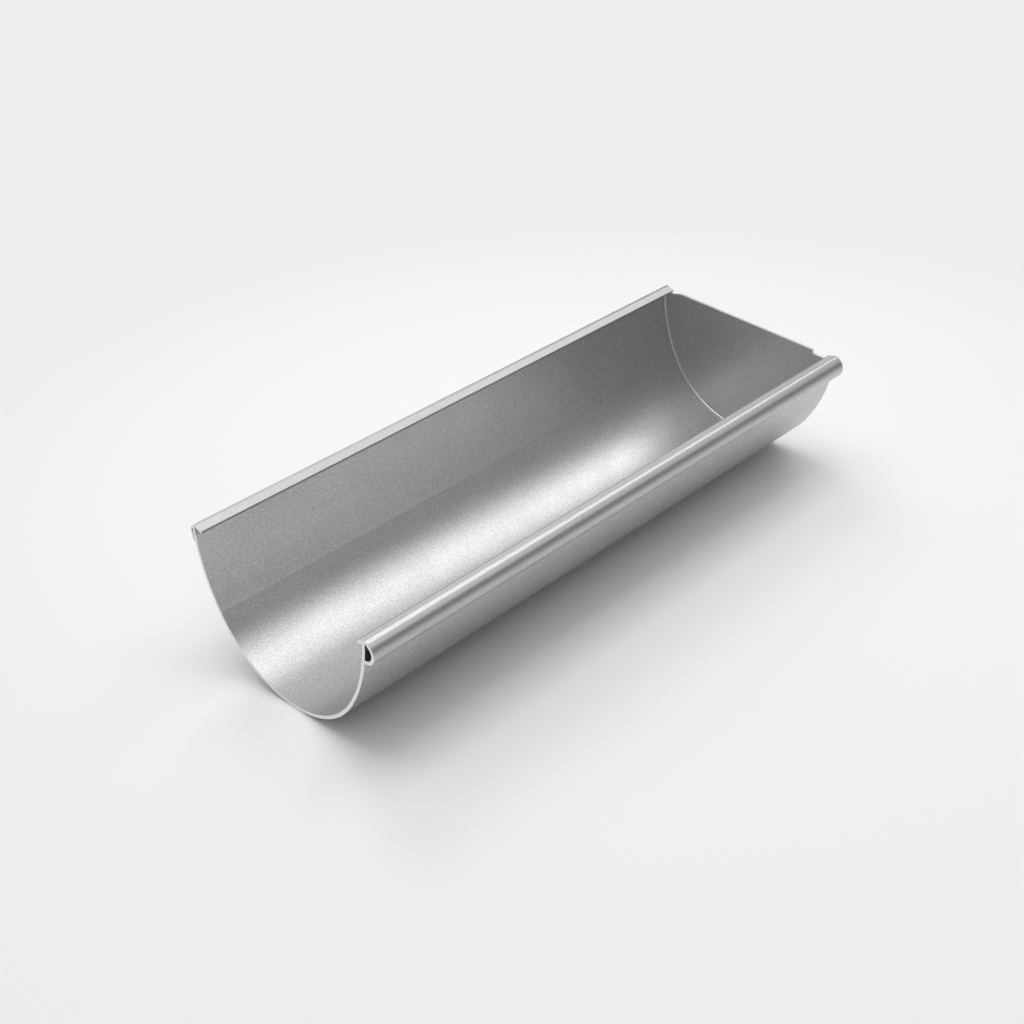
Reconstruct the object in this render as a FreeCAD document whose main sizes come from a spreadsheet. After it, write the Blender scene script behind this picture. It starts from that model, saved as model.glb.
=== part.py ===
"""Half-round gutter section with a beaded front edge and a closed end.

Three pieces: a trough of constant section, an end plate set inside one end, and the
weld that joins them. Each piece is drawn with X along the trough from its open end,
Y across it from the keel line towards the rear, and Z up from the keel line. At the
end the whole part is rolled to the angle at which it rests on a level floor, and
moved so that the origin is on that floor, in the middle of the bounding box.
All lengths are millimetres.
"""
import FreeCAD, Part
import math
import os

import Sketcher

# alias, value, meaning. "Keel line" is the line along the bottom of the trough.
DIMENSIONS = [
    ("trough_length", 348.5, "cut length of the trough"),
    ("width", 125.0, "outside width of the walls at their top"),
    ("wall", 1.8, "thickness of the walls, of both lips and of the bead"),
    ("keel_radius", 57.4, "outside radius of the bottom"),
    ("keel_turn", 58.4, "turn of the bottom arc to each side of the keel, in degrees"),
    ("rim_height", 75.2, "height of the crest of both rims"),
    ("wall_drop", 2.2, "crest of the rims to the top of the walls inside them"),
    ("lip_slope", 20.0, "fall of both lips towards the inside, in degrees"),
    ("front_crest_out", 1.2, "outside of the front wall to the crest of its rim"),
    ("front_lip_width", 6.3, "level width of the front lip"),
    ("bead_radius", 6.3, "outside radius of the front bead"),
    ("bead_in", 0.5, "outside of the front wall to the centre of the bead"),
    ("bead_drop", 7.0, "crest of the front rim to the centre of the bead"),
    ("bead_gap", 0.15, "curled edge of the bead to the front wall"),
    ("rear_crest_in", 2.4, "outside of the rear wall to the crest of its rim"),
    ("rear_lip_width", 5.3, "level width of the rear lip"),
    ("hem_wall", 1.1, "thickness of the hem behind the rear wall"),
    ("hem_out", 2.0, "outside of the rear wall to the outside of the hem"),
    ("hem_shoulder_drop", 3.7, "crest of the rear rim to the outer bend of the hem"),
    ("hem_drop", 11.4, "crest of the rear rim to the lower edge of the hem"),
    ("hem_gap", 0.15, "lower edge of the hem to the rear wall"),
    ("crest_round", 2.3, "rounding of the crests and of the outer bend of the hem"),
    ("edge_round", 0.4, "rounding of the free edges of the lips"),
    ("plate_thickness", 1.5, "thickness of the end plate"),
    ("plate_drop", 1.85, "crest of the rims to the top edge of the end plate"),
    ("plate_front_notch", 9.2, "edge of the front lip to the raised part of the plate"),
    ("plate_rear_notch", 6.0, "edge of the rear lip to the raised part of the plate"),
    ("lip_clearance", 0.2, "under the lips to the shoulders of the end plate"),
    ("seat_gap", 0.05, "fitting gap between the walls and what sits between them"),
    ("weld_leg", 1.0, "leg of the weld on the walls and on the end plate"),
    ("weld_round", 0.7, "rounding of the face of the weld"),
    ("rest_roll", 6.1, "roll towards the bead when the part lies on a floor, in degrees"),
]

# Formulas that more than one sketch uses.
WALL_TOP = "(Sizes.rim_height - Sizes.wall_drop)"
WALL_REACH = "(Sizes.width / 2)"
LIP_FALL = "tan(Sizes.lip_slope * 1 deg)"
PLATE_FACE = "(Sizes.trough_length - Sizes.plate_thickness)"

# Which point of a line or arc a constraint holds.
START, END, CENTRE = range(1, 4)

FRONT, REAR = "front", "rear"

os.makedirs("parts", exist_ok=True)
doc = FreeCAD.newDocument("GutterSection")
sheet = doc.addObject("Spreadsheet::Sheet", "Sizes")
for row, (alias, value, meaning) in enumerate(DIMENSIONS, start=1):
    sheet.set("A%d" % row, str(value))
    sheet.set("B%d" % row, meaning)
    sheet.setAlias("A%d" % row, alias)
doc.recompute()


def size(alias):
    """The value of a driving dimension."""
    return float(getattr(sheet, alias))


def point(across, up):
    """A point of a cross-section."""
    return FreeCAD.Vector(across, up, 0)


def heading(angle):
    """The direction at an angle from level, in radians, in a cross-section."""
    return point(math.cos(angle), math.sin(angle))


def meet(start, along, other_start, other_along):
    """Where two straight lines cross."""
    cross = along.x * other_along.y - along.y * other_along.x
    apart = other_start - start
    steps = (apart.x * other_along.y - apart.y * other_along.x) / cross
    return start + along * steps


def lower_meet(centre, radius, other_centre, other_radius):
    """The lower of the two points where two circles cross."""
    apart = other_centre - centre
    along = (radius**2 - other_radius**2 + apart.Length**2) / (2 * apart.Length)
    across = math.sqrt(radius**2 - along**2)
    ahead = FreeCAD.Vector(apart).normalize()
    sideways = point(-ahead.y, ahead.x)
    if sideways.y > 0:
        sideways = sideways * -1
    return centre + ahead * along + sideways * across


class Section:
    """A cross-section sketch of a body, with the outer face of the walls in it.

    The outer face is the keel arc and, from its ends, one arc up each wall. It is
    drawn as a guide or as part of the outline. What lies further in repeats it.
    """

    def __init__(self, body, name, distance="0", guide=True):
        self.sketch = body.newObject("Sketcher::SketchObject", name)
        plane = [f for f in body.Origin.OriginFeatures if f.Role == "YZ_Plane"][0]
        self.sketch.AttachmentSupport = [(plane, "")]
        self.sketch.MapMode = "FlatFace"
        self.sketch.setExpression(".AttachmentOffset.Base.z", distance)
        self.draw_outer_face(guide)

    def line(self, start, end, guide=False):
        return self.sketch.addGeometry(Part.LineSegment(start, end), guide)

    def arc(self, centre, radius, start, end, guide=False):
        """The arc that runs counter-clockwise from start to end."""
        first = math.atan2(start.y - centre.y, start.x - centre.x)
        last = math.atan2(end.y - centre.y, end.x - centre.x)
        if last < first:
            last += 2 * math.pi
        circle = Part.Circle(centre, FreeCAD.Vector(0, 0, 1), radius)
        return self.sketch.addGeometry(Part.ArcOfCircle(circle, first, last), guide)

    def tie(self, kind, *ends):
        """A geometric constraint."""
        self.sketch.addConstraint(Sketcher.Constraint(kind, *ends))

    def dimension(self, kind, ends, value, formula):
        """A dimension that follows a formula of the sheet's values."""
        number = self.sketch.addConstraint(Sketcher.Constraint(kind, *ends, value))
        self.sketch.setExpression("Constraints[%d]" % number, formula)

    def place(self, shape, end, where, across, up):
        """Both coordinates of one point of a line or arc."""
        self.dimension("DistanceX", (shape, end), where.x, across)
        self.dimension("DistanceY", (shape, end), where.y, up)

    def point_of(self, shape, end):
        """The start or end of a line or arc, as it was drawn."""
        geometry = self.sketch.Geometry[shape]
        return geometry.StartPoint if end == START else geometry.EndPoint

    def draw_outer_face(self, guide):
        keel = size("keel_radius")
        turn = math.radians(size("keel_turn"))
        self.keel_centre = point(0, keel)
        reach = size("width") / 2
        top = size("rim_height") - size("wall_drop")
        offset = self.keel_centre - point(reach, top)
        inward = heading(turn + math.pi / 2)
        apart = (keel**2 - offset.Length**2) / (2 * (inward.dot(offset) - keel))
        self.side_radius = keel + apart
        rise = inward.y * apart
        shift = -inward.x * apart
        self.centres = {
            FRONT: self.keel_centre + point(shift, rise),
            REAR: self.keel_centre + point(-shift, rise),
        }
        joint = self.keel_centre - inward * keel
        joints = {FRONT: point(-joint.x, joint.y), REAR: joint}
        front_top = point(-reach, top)
        rear_top = point(reach, top)
        radius = self.side_radius
        front = self.arc(self.centres[FRONT], radius, front_top, joints[FRONT], guide)
        bottom = self.arc(self.keel_centre, keel, joints[FRONT], joints[REAR], guide)
        rear = self.arc(self.centres[REAR], radius, joints[REAR], rear_top, guide)
        self.outer = {FRONT: front, "bottom": bottom, REAR: rear}
        self.dimension("DistanceX", (bottom, CENTRE), 0.0, "0 * Sizes.width")
        self.dimension("DistanceY", (bottom, CENTRE), keel, "Sizes.keel_radius")
        self.dimension("Radius", (bottom,), keel, "Sizes.keel_radius")
        half_span = "Sizes.keel_radius * sin(Sizes.keel_turn * 1 deg)"
        self.dimension("DistanceX", (bottom, START), -joint.x, "-" + half_span)
        self.dimension("DistanceX", (bottom, END), joint.x, half_span)
        self.tie("Tangent", front, END, bottom, START)
        self.tie("Tangent", bottom, END, rear, START)
        self.place(front, START, front_top, "-" + WALL_REACH, WALL_TOP)
        self.place(rear, END, rear_top, WALL_REACH, WALL_TOP)

    def inset_face(self, inset, formula, tops):
        """The outer face again, further in; its ends, near two heights, are left free."""
        keel = size("keel_radius") - inset
        radius = self.side_radius - inset
        ends = {}
        for side, sign in ((FRONT, -1), (REAR, 1)):
            centre = self.centres[side]
            rise = tops[side] - centre.y
            reach = math.sqrt(radius**2 - rise**2)
            outward = (self.keel_centre - centre).normalize()
            joint = self.keel_centre + outward * keel
            ends[side] = (joint, point(centre.x + sign * reach, tops[side]))
        joint, crown = ends[FRONT]
        front = self.arc(self.centres[FRONT], radius, crown, joint)
        bottom = self.arc(self.keel_centre, keel, joint, ends[REAR][0])
        joint, crown = ends[REAR]
        rear = self.arc(self.centres[REAR], radius, joint, crown)
        self.tie("Coincident", front, CENTRE, self.outer[FRONT], CENTRE)
        self.tie("Coincident", bottom, CENTRE, self.outer["bottom"], CENTRE)
        self.tie("Coincident", rear, CENTRE, self.outer[REAR], CENTRE)
        self.dimension("Radius", (bottom,), keel, "Sizes.keel_radius - (%s)" % formula)
        self.tie("Tangent", front, END, bottom, START)
        self.tie("Tangent", bottom, END, rear, START)
        return {FRONT: front, "bottom": bottom, REAR: rear}

    def close_tops(self, inside, outside):
        """Level lines that join two inset faces at the top of each wall."""
        for side, end in ((FRONT, START), (REAR, END)):
            start = self.point_of(inside[side], end)
            top = self.line(start, self.point_of(outside[side], end))
            self.tie("Coincident", top, START, inside[side], end)
            self.tie("Coincident", top, END, outside[side], end)
            self.tie("Horizontal", top)

    def ring(self, side, gap):
        """A guide circle round the centre of a side arc, a gap outside the wall."""
        centre = self.centres[side]
        normal = FreeCAD.Vector(0, 0, 1)
        circle = Part.Circle(centre, normal, self.side_radius + size(gap))
        ring = self.sketch.addGeometry(circle, True)
        joint_end = START if side == FRONT else END
        joint = self.point_of(self.outer["bottom"], joint_end)
        outward = (joint - centre).normalize()
        spoke = self.line(centre, joint + outward * size(gap), True)
        self.tie("Coincident", ring, CENTRE, self.outer[side], CENTRE)
        self.tie("Coincident", spoke, START, self.outer[side], CENTRE)
        self.tie("PointOnObject", self.outer["bottom"], joint_end, spoke)
        self.tie("PointOnObject", spoke, END, ring)
        held = (self.outer["bottom"], joint_end, spoke, END)
        self.dimension("Distance", held, size(gap), "Sizes.%s" % gap)
        return ring


def add_body(name):
    """A body, rolled about the keel to where it rests, its bounding box centred."""
    body = doc.addObject("PartDesign::Body", name)
    body.Label = name
    body.Placement.Rotation = FreeCAD.Rotation(FreeCAD.Vector(1, 0, 0), 1)
    body.setExpression(".Placement.Rotation.Angle", "Sizes.rest_roll * 1 deg")
    rolled = "(%s) * cos(Sizes.rest_roll * 1 deg) - (%s) * sin(Sizes.rest_roll * 1 deg)"
    front = rolled % (
        "Sizes.bead_in - " + WALL_REACH,
        "Sizes.rim_height - Sizes.bead_drop",
    )
    rear = rolled % (
        WALL_REACH + " + Sizes.hem_out",
        "Sizes.rim_height - Sizes.hem_shoulder_drop",
    )
    body.setExpression(".Placement.Base.x", "-Sizes.trough_length / 2")
    body.setExpression(
        ".Placement.Base.y", "-(%s - Sizes.bead_radius + %s) / 2" % (front, rear)
    )
    body.setExpression(
        ".Placement.Base.z", "Sizes.keel_radius * (1 - cos(Sizes.rest_roll * 1 deg))"
    )
    return body


def pad(body, sketch, name, formula):
    """Extrude a section along the trough."""
    feature = body.newObject("PartDesign::Pad", name)
    feature.Profile = sketch
    feature.setExpression("Length", formula)
    sketch.Visibility = False
    doc.recompute()
    return feature


def round_edges(body, name, corners, radius):
    """Fillet the edges that run along the trough through the given corners."""
    base = body.Tip
    names = []
    for number, edge in enumerate(base.Shape.Edges, start=1):
        first, last = edge.Vertexes[0].Point, edge.Vertexes[-1].Point
        if abs(first.x - last.x) < size("trough_length") / 2:
            continue
        if any(math.hypot(first.y - c.x, first.z - c.y) < 0.01 for c in corners):
            names.append("Edge%d" % number)
    fillet = body.newObject("PartDesign::Fillet", name)
    fillet.Base = (base, names)
    fillet.setExpression("Radius", radius)
    doc.recompute()


def add_lip(section, crest, crest_formula, width, tip_side):
    """A lip from a crest to its free edge.

    tip_side is +1 where the lip points to the rear and -1 where it points to the front.
    Returns the top and under lines, and the corners of the free edge.
    """
    slope = math.radians(size("lip_slope"))
    along = point(tip_side * math.cos(slope), -math.sin(slope))
    down = point(-tip_side * math.sin(slope), -math.cos(slope))
    fall = size(width) * math.tan(slope)
    tip = crest + point(tip_side * size(width), -fall)
    under_tip = tip + down * size("wall")
    top = section.line(crest, tip)
    end = section.line(tip, under_tip)
    under = section.line(under_tip, under_tip - along * size(width))
    section.tie("Coincident", top, END, end, START)
    section.tie("Coincident", end, END, under, START)
    section.tie("Perpendicular", top, end)
    section.tie("Parallel", top, under)
    section.dimension("Distance", (end,), size("wall"), "Sizes.wall")
    across = "Sizes.%s" % width
    left_to_right = (top, START, top, END) if tip_side > 0 else (top, END, top, START)
    section.dimension("DistanceX", left_to_right, size(width), across)
    section.dimension("DistanceY", (top, END, top, START), fall, across + " * " + LIP_FALL)
    section.place(top, START, crest, crest_formula, "Sizes.rim_height")
    return top, under, tip, under_tip


def draw_wall(body):
    """The curved wall, from the keel up into both rims."""
    section = Section(body, "wall_section", guide=False)
    top = size("rim_height") - size("wall_drop")
    inner = section.inset_face(size("wall"), "Sizes.wall", {FRONT: top, REAR: top})
    section.close_tops(inner, section.outer)
    return section.sketch


def draw_front_rim(body):
    """The lip, the crest and the hollow bead that curls back to the front wall."""
    section = Section(body, "front_rim_section")
    wall, radius = size("wall"), size("bead_radius")
    reach = size("width") / 2
    crest = point(-reach - size("front_crest_out"), size("rim_height"))
    crest_formula = "-Sizes.front_crest_out - " + WALL_REACH
    top, under, tip, under_tip = add_lip(
        section, crest, crest_formula, "front_lip_width", 1
    )
    centre = point(size("bead_in") - reach, size("rim_height") - size("bead_drop"))
    towards = crest - centre
    turn = math.atan2(towards.y, towards.x) + math.acos(radius / towards.Length)
    joint = centre + heading(turn) * radius
    inner_joint = centre + heading(turn) * (radius - wall)
    corner = meet(inner_joint, crest - joint, under_tip, crest - tip)
    ring = section.ring(FRONT, "bead_gap")
    face = section.side_radius + size("bead_gap")
    curl = lower_meet(centre, radius, section.centres[FRONT], face)
    inner_curl = lower_meet(centre, radius - wall, section.centres[FRONT], face)

    slope = section.line(crest, joint)
    bead = section.arc(centre, radius, joint, curl)
    edge = section.line(curl, inner_curl)
    hollow = section.arc(centre, radius - wall, inner_joint, inner_curl)
    inner_slope = section.line(inner_joint, corner)
    section.tie("Coincident", slope, START, top, START)
    section.tie("Tangent", slope, END, bead, START)
    section.tie("Coincident", bead, END, edge, START)
    section.tie("Coincident", edge, END, hollow, END)
    section.tie("Tangent", hollow, START, inner_slope, START)
    section.tie("Coincident", inner_slope, END, under, END)
    section.tie("Parallel", slope, inner_slope)
    section.tie("Coincident", hollow, CENTRE, bead, CENTRE)
    section.tie("PointOnObject", bead, END, ring)
    section.tie("PointOnObject", hollow, END, ring)
    section.place(
        bead,
        CENTRE,
        centre,
        "Sizes.bead_in - " + WALL_REACH,
        "Sizes.rim_height - Sizes.bead_drop",
    )
    section.dimension("Radius", (bead,), radius, "Sizes.bead_radius")
    section.dimension("Radius", (hollow,), radius - wall, "Sizes.bead_radius - Sizes.wall")
    return section.sketch, [crest], [tip, under_tip]


def draw_rear_rim(body):
    """The lip, the crest and the flat hem that folds down behind the rear wall."""
    section = Section(body, "rear_rim_section")
    wall = size("hem_wall")
    reach = size("width") / 2
    crest = point(reach - size("rear_crest_in"), size("rim_height"))
    crest_formula = WALL_REACH + " - Sizes.rear_crest_in"
    top, under, tip, under_tip = add_lip(
        section, crest, crest_formula, "rear_lip_width", -1
    )
    shoulder = point(
        reach + size("hem_out"), size("rim_height") - size("hem_shoulder_drop")
    )
    ring = section.ring(REAR, "hem_gap")
    face = section.side_radius + size("hem_gap")
    foot_height = size("rim_height") - size("hem_drop")
    rise = foot_height - section.centres[REAR].y
    foot_reach = section.centres[REAR].x + math.sqrt(face**2 - rise**2)
    inner_foot = point(foot_reach, foot_height)
    upward = shoulder - inner_foot
    turn = math.atan2(upward.y, upward.x) - math.acos(wall / upward.Length)
    foot = inner_foot + heading(turn) * wall
    downhill = (shoulder - crest).normalize()
    below = point(downhill.y, -downhill.x)
    bend = meet(inner_foot, shoulder - foot, crest + below * wall, downhill)
    corner = meet(bend, downhill, under_tip, crest - tip)

    slope = section.line(crest, shoulder)
    leg = section.line(shoulder, foot)
    edge = section.line(foot, inner_foot)
    inner_leg = section.line(inner_foot, bend)
    inner_slope = section.line(bend, corner)
    section.tie("Coincident", slope, START, top, START)
    section.tie("Coincident", slope, END, leg, START)
    section.tie("Coincident", leg, END, edge, START)
    section.tie("Coincident", edge, END, inner_leg, START)
    section.tie("Coincident", inner_leg, END, inner_slope, START)
    section.tie("Coincident", inner_slope, END, under, END)
    section.tie("Perpendicular", leg, edge)
    section.tie("Parallel", leg, inner_leg)
    section.tie("Parallel", slope, inner_slope)
    section.tie("PointOnObject", edge, END, ring)
    section.place(
        slope,
        END,
        shoulder,
        WALL_REACH + " + Sizes.hem_out",
        "Sizes.rim_height - Sizes.hem_shoulder_drop",
    )
    section.dimension("Distance", (edge,), wall, "Sizes.hem_wall")
    section.dimension("Distance", (inner_slope, END, slope), wall, "Sizes.hem_wall")
    section.dimension(
        "DistanceY", (edge, END), foot_height, "Sizes.rim_height - Sizes.hem_drop"
    )
    return section.sketch, [crest, shoulder], [tip, under_tip]


def build_trough():
    """One constant section: the wall, the front rim and the rear rim."""
    body = add_body("gutter_trough")
    pad(body, draw_wall(body), "wall_pad", "Sizes.trough_length")
    front_sketch, front_bends, front_edges = draw_front_rim(body)
    pad(body, front_sketch, "front_rim_pad", "Sizes.trough_length")
    rear_sketch, rear_bends, rear_edges = draw_rear_rim(body)
    pad(body, rear_sketch, "rear_rim_pad", "Sizes.trough_length")
    round_edges(body, "bends", front_bends + rear_bends, "Sizes.crest_round")
    round_edges(body, "free_edges", front_edges + rear_edges, "Sizes.edge_round")
    return body


def under_lip(width):
    """Height of the end plate under a lip, as a number and as a formula."""
    slope = math.radians(size("lip_slope"))
    fall = size(width) * math.tan(slope) + size("wall") * math.cos(slope)
    formula = "Sizes.rim_height - Sizes.%s * %s" % (width, LIP_FALL)
    formula += " - Sizes.wall * cos(Sizes.lip_slope * 1 deg) - Sizes.lip_clearance"
    return size("rim_height") - fall - size("lip_clearance"), formula


def build_plate():
    """The end plate: the inside of the trough, cut down at both lips."""
    body = add_body("end_plate")
    section = Section(body, "plate_section", PLATE_FACE)
    front_height, front_formula = under_lip("front_lip_width")
    rear_height, rear_formula = under_lip("rear_lip_width")
    inner = section.inset_face(
        size("wall") + size("seat_gap"),
        "Sizes.wall + Sizes.seat_gap",
        {FRONT: front_height, REAR: rear_height},
    )
    top = size("rim_height") - size("plate_drop")
    rear_edge = size("width") / 2 - size("rear_crest_in") - size("rear_lip_width")
    front_edge = size("front_lip_width") - size("front_crest_out") - size("width") / 2
    corners = [
        section.point_of(inner[REAR], END),
        point(rear_edge, rear_height),
        point(rear_edge - size("plate_rear_notch"), top),
        point(front_edge + size("plate_front_notch"), top),
        point(front_edge + size("plate_front_notch"), front_height),
        section.point_of(inner[FRONT], START),
    ]
    sides = [section.line(start, end) for start, end in zip(corners, corners[1:])]
    section.tie("Coincident", sides[0], START, inner[REAR], END)
    for first, second in zip(sides, sides[1:]):
        section.tie("Coincident", first, END, second, START)
    section.tie("Coincident", sides[-1], END, inner[FRONT], START)
    for level in (sides[0], sides[2], sides[4]):
        section.tie("Horizontal", level)
    section.tie("Vertical", sides[3])
    rear_formula_across = WALL_REACH + " - Sizes.rear_crest_in - Sizes.rear_lip_width"
    section.place(sides[1], START, corners[1], rear_formula_across, rear_formula)
    section.place(
        sides[1],
        END,
        corners[2],
        rear_formula_across + " - Sizes.plate_rear_notch",
        "Sizes.rim_height - Sizes.plate_drop",
    )
    section.place(
        sides[3],
        END,
        corners[4],
        "Sizes.plate_front_notch + Sizes.front_lip_width - Sizes.front_crest_out - "
        + WALL_REACH,
        front_formula,
    )
    pad(body, section.sketch, "plate_pad", "Sizes.plate_thickness")
    return body


def build_weld():
    """The weld in the corner between the walls and the end plate, with a round face."""
    body = add_body("end_weld")
    section = Section(body, "weld_section", PLATE_FACE + " - Sizes.weld_leg")
    front_height, front_formula = under_lip("front_lip_width")
    rear_height, rear_formula = under_lip("rear_lip_width")
    tops = {FRONT: front_height, REAR: rear_height}
    wall, leg = size("wall"), size("weld_leg")
    against = section.inset_face(
        wall + size("seat_gap"), "Sizes.wall + Sizes.seat_gap", tops
    )
    inside = section.inset_face(wall + leg, "Sizes.wall + Sizes.weld_leg", tops)
    section.close_tops(inside, against)
    section.dimension("DistanceY", (inside[FRONT], START), front_height, front_formula)
    section.dimension("DistanceY", (inside[REAR], END), rear_height, rear_formula)
    weld = pad(body, section.sketch, "weld_pad", "Sizes.weld_leg")
    near = weld.Shape.BoundBox.XMin
    radii = (size("keel_radius") - wall - leg, section.side_radius - wall - leg)
    names = []
    for number, edge in enumerate(weld.Shape.Edges, start=1):
        if edge.Curve.TypeId != "Part::GeomCircle" or edge.BoundBox.XMax - near > 0.01:
            continue
        if any(abs(edge.Curve.Radius - radius) < 0.01 for radius in radii):
            names.append("Edge%d" % number)
    fillet = body.newObject("PartDesign::Fillet", "weld_face")
    fillet.Base = (weld, names)
    fillet.setExpression("Radius", "Sizes.weld_round")
    return body


def check_and_write(bodies):
    """Stop on any failed object or bad shape, and otherwise write one file a piece."""
    doc.recompute()
    for item in doc.Objects:
        if "Invalid" in item.State or "Error" in item.State:
            raise RuntimeError("%s failed: %s" % (item.Name, item.State))
    for body in bodies:
        if body.Shape.isNull() or not body.Shape.isValid():
            raise RuntimeError("%s has no valid shape" % body.Label)
        if len(body.Shape.Solids) != 1:
            raise RuntimeError("%s is not one solid" % body.Label)
    for body in bodies:
        body.Shape.exportStep("parts/%s.step" % body.Label)


check_and_write([build_trough(), build_plate(), build_weld()])
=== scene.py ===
"""Finish, floor, light and camera for the gutter section. All lengths are metres."""
import math

import bpy
from mathutils import Matrix, Vector


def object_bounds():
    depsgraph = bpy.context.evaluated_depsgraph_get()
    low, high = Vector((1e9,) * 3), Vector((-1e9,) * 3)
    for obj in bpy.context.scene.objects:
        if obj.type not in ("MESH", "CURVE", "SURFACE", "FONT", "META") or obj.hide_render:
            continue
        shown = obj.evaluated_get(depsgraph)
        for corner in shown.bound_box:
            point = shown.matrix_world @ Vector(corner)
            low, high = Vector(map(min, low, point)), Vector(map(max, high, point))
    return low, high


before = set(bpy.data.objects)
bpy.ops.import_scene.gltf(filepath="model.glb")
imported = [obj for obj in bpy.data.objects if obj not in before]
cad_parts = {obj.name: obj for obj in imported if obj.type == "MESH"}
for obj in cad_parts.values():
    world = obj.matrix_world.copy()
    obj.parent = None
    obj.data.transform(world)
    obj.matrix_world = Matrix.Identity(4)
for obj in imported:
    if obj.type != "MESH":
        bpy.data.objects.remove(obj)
cad_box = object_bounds()
low = Vector(cad_box[0])

# The part lies rolled towards its bead, about the middle of its round bottom.
REST_ROLL = math.radians(6.1)
KEEL_RADIUS = 0.0574
KEEL_ACROSS = 0.00323

# The camera, from the open end of the keel line of a part that isn't rolled.
CAMERA_OFFSET = Vector((-0.32271, -0.46988, 0.50742))
CAMERA_YAW = math.radians(44.598)
CAMERA_PITCH = math.radians(35.246)
CAMERA_LENS = 54.848
CAMERA_SENSOR = 36
CAMERA_NEAR = 0.01

# Mill-finished aluminium is a little cooler than grey, and lighter where it is sawn.
COOL_TINT = (0.975, 0.985, 1, 1)
SAWN_GREY = 0.83

# The noises of the finish, and the stretch of their values that is used.
GRAIN = {"Scale": 1500.0, "Detail": 3.0, "Roughness": 0.6}
BLOTCHES = {"Scale": 45.0, "Detail": 4.0, "Roughness": 0.55}
NOISE_LOW = 0.3
NOISE_HIGH = 0.7
GRAIN_HEIGHT = 0.0002
BLOTCH_SPREAD = 0.03

# Painted highlight and painted shade on the rims: grey against millimetres across the section,
# from the keel. It paints the bead's highlight, the dark band beside it, a dark line at the
# front lip's inner edge and the light and dark strips of the rear rim.
RIM_PAINTED_LIGHT_GREYS = [
    (-68.4, 0.66),
    (-68.0, 0.5),
    (-67.2, 0.44),
    (-66.7, 0.54),
    (-66.1, 0.82),
    (-64.8, 1.0),
    (-64.0, 0.68),
    (-63.2, 0.68),
    (-58.9, 0.78),
    (-58.5, 0.52),
    (-57.2, 0.5),
    (56.0, 0.55),
    (58.6, 0.55),
    (59.4, 0.46),
    (66.0, 0.48),
]
RIM_GRAIN = 0.8
RIM_ROUGHNESS = 0.45

# The height up the section where the rims' painted highlight and shade begin, and the height
# of the blend there.
RIM_FOOT = 0.0672
RIM_BLEND = 0.001

# Which faces are sawn: a comparison with how squarely they look along the trough.
ENDS = ("GREATER_THAN", 0.9)
EDGES = ("LESS_THAN", 0.5)
NONE = ("LESS_THAN", -1.0)

# The floor near the part, and the pale background that it fades to.
FLOOR_SIZE = 40
FLOOR_GREY = 0.945
FLOOR_ROUGHNESS = 0.6
FADE_START = 0.2
FADE_END = 0.6
PALE_GREY = 0.85

# The low wall behind the part.
WALL_GREY = 0.9
WALL_WIDTH = 5
WALL_HEIGHT = 0.5
WALL_PLACE = (1.6, 1.9)
WALL_YAW = math.radians(-40)

# The lamps round the part: azimuth and elevation in degrees, and power in watts.
SOFT_BOXES = [
    (0, 90, 5.0),
    (0, 50, 3.0),
    (60, 45, 4.0),
    (120, 65, 2.0),
    (225, 60, 1.5),
    (315, 60, 2.5),
    (135, 15, 1.5),
]
SOFT_BOX_SIZE = 0.7
SOFT_BOX_AWAY = 1.5
WORLD_GREY = 0.9
WORLD_STRENGTH = 0.34


def grey(value):
    return (value, value, value, 1)


def direction(azimuth, elevation):
    """The unit vector at two angles in radians."""
    level = math.cos(elevation)
    return Vector((math.cos(azimuth) * level, math.sin(azimuth) * level, math.sin(elevation)))


def new_tree(name):
    """An empty material and its node tree."""
    material = bpy.data.materials.new(name)
    material.use_nodes = True
    material.node_tree.nodes.clear()
    return material, material.node_tree


def node(tree, kind, inputs, **settings):
    """A shader node. Each input takes a value or another node's output."""
    made = tree.nodes.new(kind)
    for name, value in settings.items():
        setattr(made, name, value)
    for name, value in inputs.items():
        if isinstance(value, bpy.types.NodeSocket):
            tree.links.new(value, made.inputs[name])
        else:
            made.inputs[name].default_value = value
    return made


def calculate(tree, operation, first, second=0.0):
    """The result of a sum, a product or a comparison."""
    inputs = {0: first, 1: second}
    return node(tree, "ShaderNodeMath", inputs, operation=operation).outputs[0]


def reach(tree, place, way):
    """How far a place lies from the origin in one direction."""
    inputs = {0: place, 1: way}
    return node(tree, "ShaderNodeVectorMath", inputs, operation="DOT_PRODUCT").outputs["Value"]


def stretch(tree, value, start, end, **settings):
    """A value as its share of the way from start to end."""
    inputs = {"Value": value, "From Min": start, "From Max": end}
    return node(tree, "ShaderNodeMapRange", inputs, **settings).outputs["Result"]


def blend(tree, factor, first, second, **settings):
    """Two colours mixed."""
    inputs = {"Factor": factor, "A": first, "B": second}
    return node(tree, "ShaderNodeMix", inputs, data_type="RGBA", **settings).outputs["Result"]


def ramp(tree, source, stops):
    """A colour ramp of greys, straight between its stops."""
    made = node(tree, "ShaderNodeValToRGB", {"Fac": source})
    elements = made.color_ramp.elements
    while len(elements) < len(stops):
        elements.new(0.5)
    for element, (place, value) in zip(elements, stops):
        element.position = place
        element.color = grey(value)
    return made.outputs["Color"]


def noise_ramp(tree, noise, first, last):
    """A noise spread between two greys."""
    return ramp(tree, noise, [(NOISE_LOW, first), (NOISE_HIGH, last)])


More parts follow.
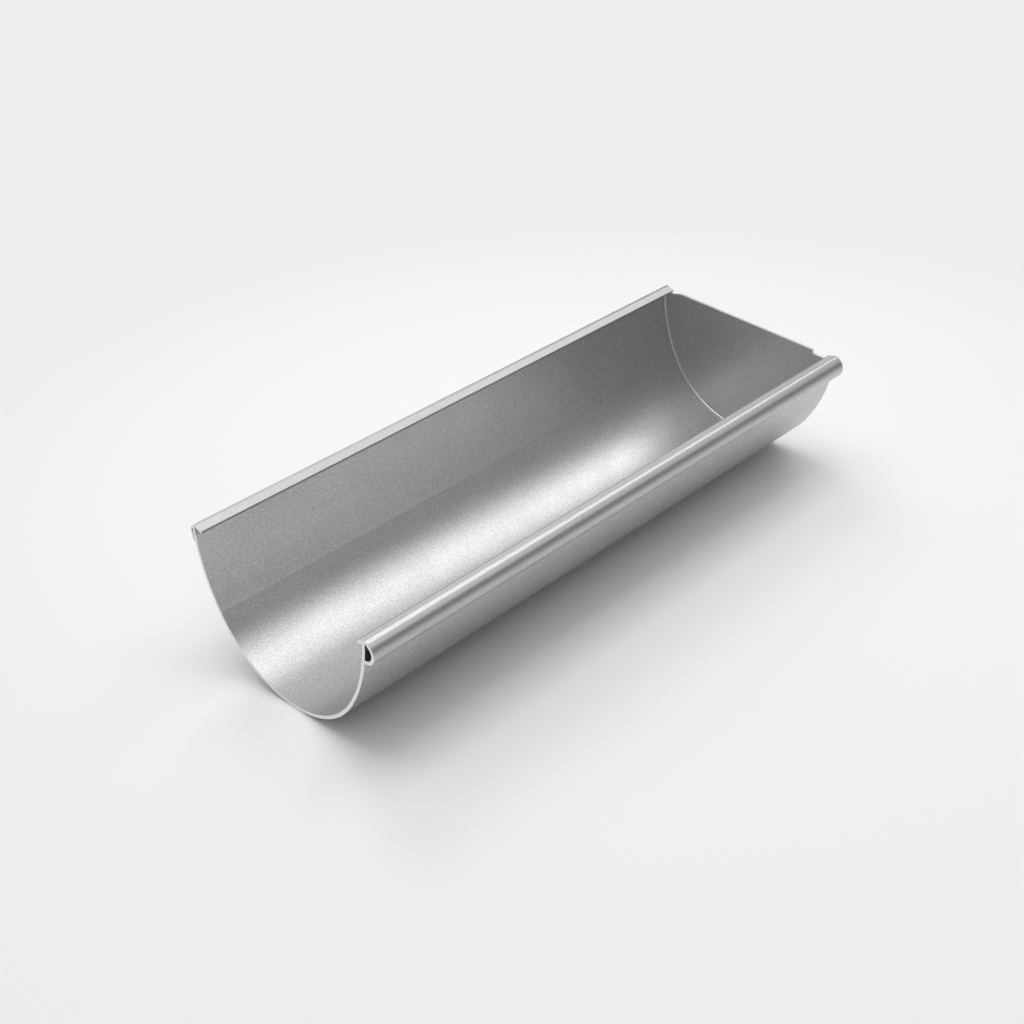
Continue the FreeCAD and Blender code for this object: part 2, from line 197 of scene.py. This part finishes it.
def rim_mask_and_painted_light(tree, place, grain):
    """Where the rims are, from 0 to 1, and their greys: painted highlight and painted shade,
    times the grain.
    """
    cos, sin = math.cos(REST_ROLL), math.sin(REST_ROLL)
    height = reach(tree, place, (0, -sin, cos))
    top = RIM_FOOT + RIM_BLEND
    share = stretch(tree, height, RIM_FOOT, top, interpolation_type="SMOOTHSTEP")
    keel = KEEL_ACROSS * cos + KEEL_RADIUS * sin
    first, last = RIM_PAINTED_LIGHT_GREYS[0][0], RIM_PAINTED_LIGHT_GREYS[-1][0]
    across = reach(tree, place, (0, cos, sin))
    way_across = stretch(tree, across, keel + first / 1000, keel + last / 1000)
    stops = [((y - first) / (last - first), value) for y, value in RIM_PAINTED_LIGHT_GREYS]
    # A ramp of painted highlight and painted shade across the section.
    painted_rim_light = ramp(tree, way_across, stops)
    spread = noise_ramp(tree, grain, RIM_GRAIN, 1.0)
    return share, blend(tree, 1.0, painted_rim_light, spread, blend_type="MULTIPLY")


def metal(name, dull, bright, roughness, grain_depth, sawn_faces, paints_rim_light=False):
    """Mill-finished sheet, whose fine grain varies between the greys dull and bright."""
    material, tree = new_tree(name)
    surface = node(tree, "ShaderNodeTexCoord", {})
    place = surface.outputs["Object"]
    grain = node(tree, "ShaderNodeTexNoise", {"Vector": place, **GRAIN}).outputs["Fac"]
    blotches = node(tree, "ShaderNodeTexNoise", {"Vector": place, **BLOTCHES}).outputs["Fac"]
    colour = noise_ramp(tree, grain, dull, bright)
    smooth, rough = roughness - BLOTCH_SPREAD, roughness + BLOTCH_SPREAD
    finish = noise_ramp(tree, blotches, smooth, rough)
    # On the rims the sheet's grey gives way to painted highlight and painted shade.
    if paints_rim_light:
        share, painted_rim_light = rim_mask_and_painted_light(tree, place, grain)
        colour = blend(tree, share, colour, painted_rim_light)
        inputs = {"Factor": share, "A": finish, "B": RIM_ROUGHNESS}
        finish = node(tree, "ShaderNodeMix", inputs).outputs["Result"]
    facing = node(tree, "ShaderNodeSeparateXYZ", {0: surface.outputs["Normal"]})
    along = calculate(tree, "ABSOLUTE", facing.outputs["X"])
    comparison, limit = sawn_faces
    sawn = calculate(tree, comparison, along, limit)
    colour = blend(tree, sawn, colour, grey(SAWN_GREY))
    colour = blend(tree, 1.0, colour, COOL_TINT, blend_type="MULTIPLY")
    inputs = {"Height": grain, "Strength": grain_depth, "Distance": GRAIN_HEIGHT}
    bump = node(tree, "ShaderNodeBump", inputs)
    inputs = {
        "Base Color": colour,
        "Metallic": 1.0,
        "Roughness": finish,
        "Normal": bump.outputs["Normal"],
    }
    shader = node(tree, "ShaderNodeBsdfPrincipled", inputs)
    node(tree, "ShaderNodeOutputMaterial", {"Surface": shader.outputs["BSDF"]})
    return material


def trough_metal():
    return metal("trough_metal", 0.41, 0.72, 0.38, 0.2, ENDS, paints_rim_light=True)


def plate_metal():
    return metal("plate_metal", 0.55, 1.0, 0.4, 0.3, EDGES)


def weld_metal():
    return metal("weld_metal", 0.7, 0.85, 0.35, 0.2, NONE)


def dress(name, material):
    """Give a CAD node its finish."""
    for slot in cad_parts[name].material_slots:
        slot.material = material


def pale_floor():
    """A pale floor that fades to the background away from the part."""
    material, tree = new_tree("pale_floor")
    inputs = {"Base Color": grey(FLOOR_GREY), "Roughness": FLOOR_ROUGHNESS}
    shader = node(tree, "ShaderNodeBsdfPrincipled", inputs)
    place = node(tree, "ShaderNodeNewGeometry", {}).outputs["Position"]
    away = node(tree, "ShaderNodeVectorMath", {0: place}, operation="LENGTH").outputs["Value"]
    fade = stretch(tree, away, FADE_START, FADE_END, interpolation_type="SMOOTHSTEP")
    rays = node(tree, "ShaderNodeLightPath", {}).outputs
    seen = calculate(tree, "MAXIMUM", rays["Is Camera Ray"], rays["Is Glossy Ray"])
    seen = calculate(tree, "MAXIMUM", seen, rays["Is Transmission Ray"])
    share = calculate(tree, "MULTIPLY", seen, fade)
    pale = node(tree, "ShaderNodeEmission", {"Color": grey(PALE_GREY)})
    inputs = {0: share, 1: shader.outputs["BSDF"], 2: pale.outputs["Emission"]}
    mix = node(tree, "ShaderNodeMixShader", inputs)
    node(tree, "ShaderNodeOutputMaterial", {"Surface": mix.outputs["Shader"]})
    return material


def pale_wall():
    material, tree = new_tree("pale_wall")
    pale = node(tree, "ShaderNodeEmission", {"Color": grey(WALL_GREY)})
    node(tree, "ShaderNodeOutputMaterial", {"Surface": pale.outputs["Emission"]})
    return material


def add_sheet(name, material, size, location, rotation=(0, 0, 0)):
    """A flat piece of the stage."""
    bpy.ops.mesh.primitive_plane_add(size=1)
    sheet = bpy.context.object
    sheet.name = name
    sheet.scale = (*size, 1)
    sheet.rotation_euler = rotation
    sheet.location = location
    sheet.data.materials.append(material)


def add_floor():
    add_sheet("floor", pale_floor(), (FLOOR_SIZE, FLOOR_SIZE), (0, 0, low.z))


def add_backdrop():
    """A low wall behind the part, which its lips and its bead reflect."""
    middle = (*WALL_PLACE, low.z + WALL_HEIGHT / 2)
    upright = (math.radians(90), 0, WALL_YAW)
    add_sheet("backdrop", pale_wall(), (WALL_WIDTH, WALL_HEIGHT), middle, upright)


def add_soft_box(azimuth, elevation, watts):
    """A square lamp aimed at the part."""
    light = bpy.data.lights.new("soft_box", "AREA")
    light.shape = "SQUARE"
    light.size = SOFT_BOX_SIZE
    light.energy = watts
    lamp = bpy.data.objects.new("soft_box", light)
    away = direction(math.radians(azimuth), math.radians(elevation))
    lamp.location = away * SOFT_BOX_AWAY
    lamp.rotation_euler = (-away).to_track_quat("-Z", "Y").to_euler()
    bpy.context.collection.objects.link(lamp)


def add_world():
    world = bpy.data.worlds.new("studio")
    bpy.context.scene.world = world
    world.use_nodes = True
    background = world.node_tree.nodes["Background"]
    background.inputs["Color"].default_value = grey(WORLD_GREY)
    background.inputs["Strength"].default_value = WORLD_STRENGTH


def add_camera():
    """The camera of a level part, rolled with the part about the keel's centre."""
    forward = direction(CAMERA_YAW, -CAMERA_PITCH)
    right = Vector((math.sin(CAMERA_YAW), -math.cos(CAMERA_YAW), 0))
    up = right.cross(forward)
    camera = bpy.data.objects.new("camera", bpy.data.cameras.new("camera"))
    camera.data.lens = CAMERA_LENS
    camera.data.sensor_width = CAMERA_SENSOR
    camera.data.clip_start = CAMERA_NEAR
    turn = Matrix((right, up, -forward)).transposed().to_4x4()
    level = Matrix.Translation(CAMERA_OFFSET - Vector((0, 0, KEEL_RADIUS))) @ turn
    keel_centre = Matrix.Translation((low.x, KEEL_ACROSS, low.z + KEEL_RADIUS))
    camera.matrix_world = keel_centre @ Matrix.Rotation(REST_ROLL, 4, "X") @ level
    bpy.context.collection.objects.link(camera)
    bpy.context.scene.camera = camera


dress("gutter_trough", trough_metal())
dress("end_plate", plate_metal())
dress("end_weld", weld_metal())
add_floor()
add_world()
add_backdrop()
for box in SOFT_BOXES:
    add_soft_box(*box)
add_camera()
bpy.context.scene.view_settings.view_transform = "Standard"
